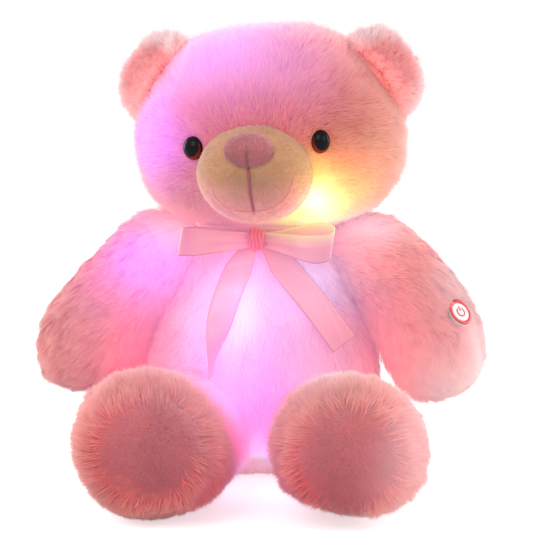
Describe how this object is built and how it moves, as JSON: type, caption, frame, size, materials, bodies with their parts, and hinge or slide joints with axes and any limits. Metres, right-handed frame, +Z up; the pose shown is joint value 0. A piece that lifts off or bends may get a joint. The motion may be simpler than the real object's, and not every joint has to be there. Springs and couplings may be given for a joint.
{
  "type": "plush night light",
  "caption": "Sitting long-pile plush teddy bear with a ribbon bow, glowing from lamps in its filling, with a press switch in one arm and a zipped battery pocket in the back.",
  "frame": {"origin": "middle of the flat seat under the torso, on the surface that the bear sits on", "axes": "+Z up, the bear faces -Y, and its own left side, with the press switch, is at +X"},
  "size_m": [0.3282, 0.2484, 0.3502],
  "materials": {
    "plush": "long shaggy pile",
    "muzzle_pile": "short pile",
    "nose_velour": "velour",
    "sole_pile": "short pile",
    "ribbon_satin": "satin ribbon",
    "zip_tape": "woven tape with moulded teeth",
    "eye_gloss": "gloss",
    "washer_plastic": "plain",
    "patch_vinyl": "printed vinyl",
    "switch_plastic": "plain",
    "housing_plastic": "plain",
    "box_plastic": "plain",
    "board_laminate": "lacquered",
    "contact_metal": "plated spring steel",
    "cell_sleeve": "printed sleeve over a steel can",
    "screw_steel": "plated",
    "zip_metal": "plated die casting",
    "lamp_epoxy": "clear",
    "wire_insulation": "plain"
  },
  "bodies": {
    "torso": {"torso": "plush", "neck_ribbon": "ribbon_satin", "bow_knot": "ribbon_satin", "bow_loop_left": "ribbon_satin", "bow_loop_right": "ribbon_satin", "ribbon_tail_left": "ribbon_satin", "ribbon_tail_right": "ribbon_satin", "zipper_tape_left": "zip_tape", "zipper_tape_right": "zip_tape", "zipper_bottom_stop": "zip_metal", "battery_box": "box_plastic", "battery_lid": "box_plastic", "lid_screw": "screw_steel", "control_board": "board_laminate", "contact_strip_lower": "contact_metal", "contact_strip_upper": "contact_metal", "aa_cell_1": "cell_sleeve", "aa_cell_2": "cell_sleeve", "aa_cell_3": "cell_sleeve", "lamp_chest": "lamp_epoxy", "lamp_belly": "lamp_epoxy", "lamp_shoulder": "lamp_epoxy", "wire_chest": "wire_insulation", "wire_belly": "wire_insulation", "wire_shoulder": "wire_insulation", "wire_neck": "wire_insulation", "wire_switch_feed": "wire_insulation"},
    "head": {"head": "plush", "ear_left": "plush", "ear_right": "plush", "muzzle": "muzzle_pile", "nose": "nose_velour", "eye_left": "eye_gloss", "eye_right": "eye_gloss", "eye_washer_left": "washer_plastic", "eye_washer_right": "washer_plastic", "lamp_cheek_left": "lamp_epoxy", "lamp_cheek_right": "lamp_epoxy", "lamp_crown": "lamp_epoxy", "wire_head": "wire_insulation", "wire_crown": "wire_insulation", "wire_cheek": "wire_insulation"},
    "arm_left": {"arm_left": "plush", "switch_housing": "housing_plastic", "wire_switch": "wire_insulation"},
    "button": {"press_patch": "patch_vinyl", "switch_plunger": "switch_plastic"},
    "arm_right": {"arm_right": "plush"},
    "leg_left": {"leg_left": "plush", "sole_left": "sole_pile"},
    "leg_right": {"leg_right": "plush", "sole_right": "sole_pile"},
    "slider": {"zipper_slider": "zip_metal"},
    "pull": {"zipper_pull": "zip_metal"}
  },
  "joints": [
    {"name": "head_turn", "type": "hinge", "parent": "torso", "child": "head", "pos_m": [0, 0, 0.198], "axis": [0, 0, 1], "range_deg": [-20, 20], "stiffness_Nm_per_rad": 0.35},
    {"name": "arm_left_lift", "type": "hinge", "parent": "torso", "child": "arm_left", "pos_m": [0.042, 0, 0.192], "axis": [0, -1, 0], "range_deg": [0, 15], "stiffness_Nm_per_rad": 0.05},
    {"name": "arm_right_lift", "type": "hinge", "parent": "torso", "child": "arm_right", "pos_m": [-0.042, 0, 0.192], "axis": [0, 1, 0], "range_deg": [0, 15], "stiffness_Nm_per_rad": 0.05},
    {"name": "leg_left_lift", "type": "hinge", "parent": "torso", "child": "leg_left", "pos_m": [0, -0.06972, 0.09009], "axis": [-1, 0, 0], "range_deg": [0, 20]},
    {"name": "leg_right_lift", "type": "hinge", "parent": "torso", "child": "leg_right", "pos_m": [0, -0.06972, 0.09009], "axis": [-1, 0, 0], "range_deg": [0, 20]},
    {"name": "button_press", "type": "slide", "parent": "arm_left", "child": "button", "axis": [-0.6004, 0.5604, -0.5704], "range_m": [0, 0.0015], "stiffness_N_per_m": 400},
    {"name": "zip_slide", "type": "slide", "parent": "torso", "child": "slider", "axis": [0, 0.0751, -0.9972], "range_m": [0, 0.083], "deforming": ["zipper_tape_left", "zipper_tape_right"]},
    {"name": "zip_pull_swing", "type": "hinge", "parent": "slider", "child": "pull", "pos_m": [0, 0.05542, 0.14047], "axis": [1, 0, 0], "range_deg": [0, 150]}
  ]
}
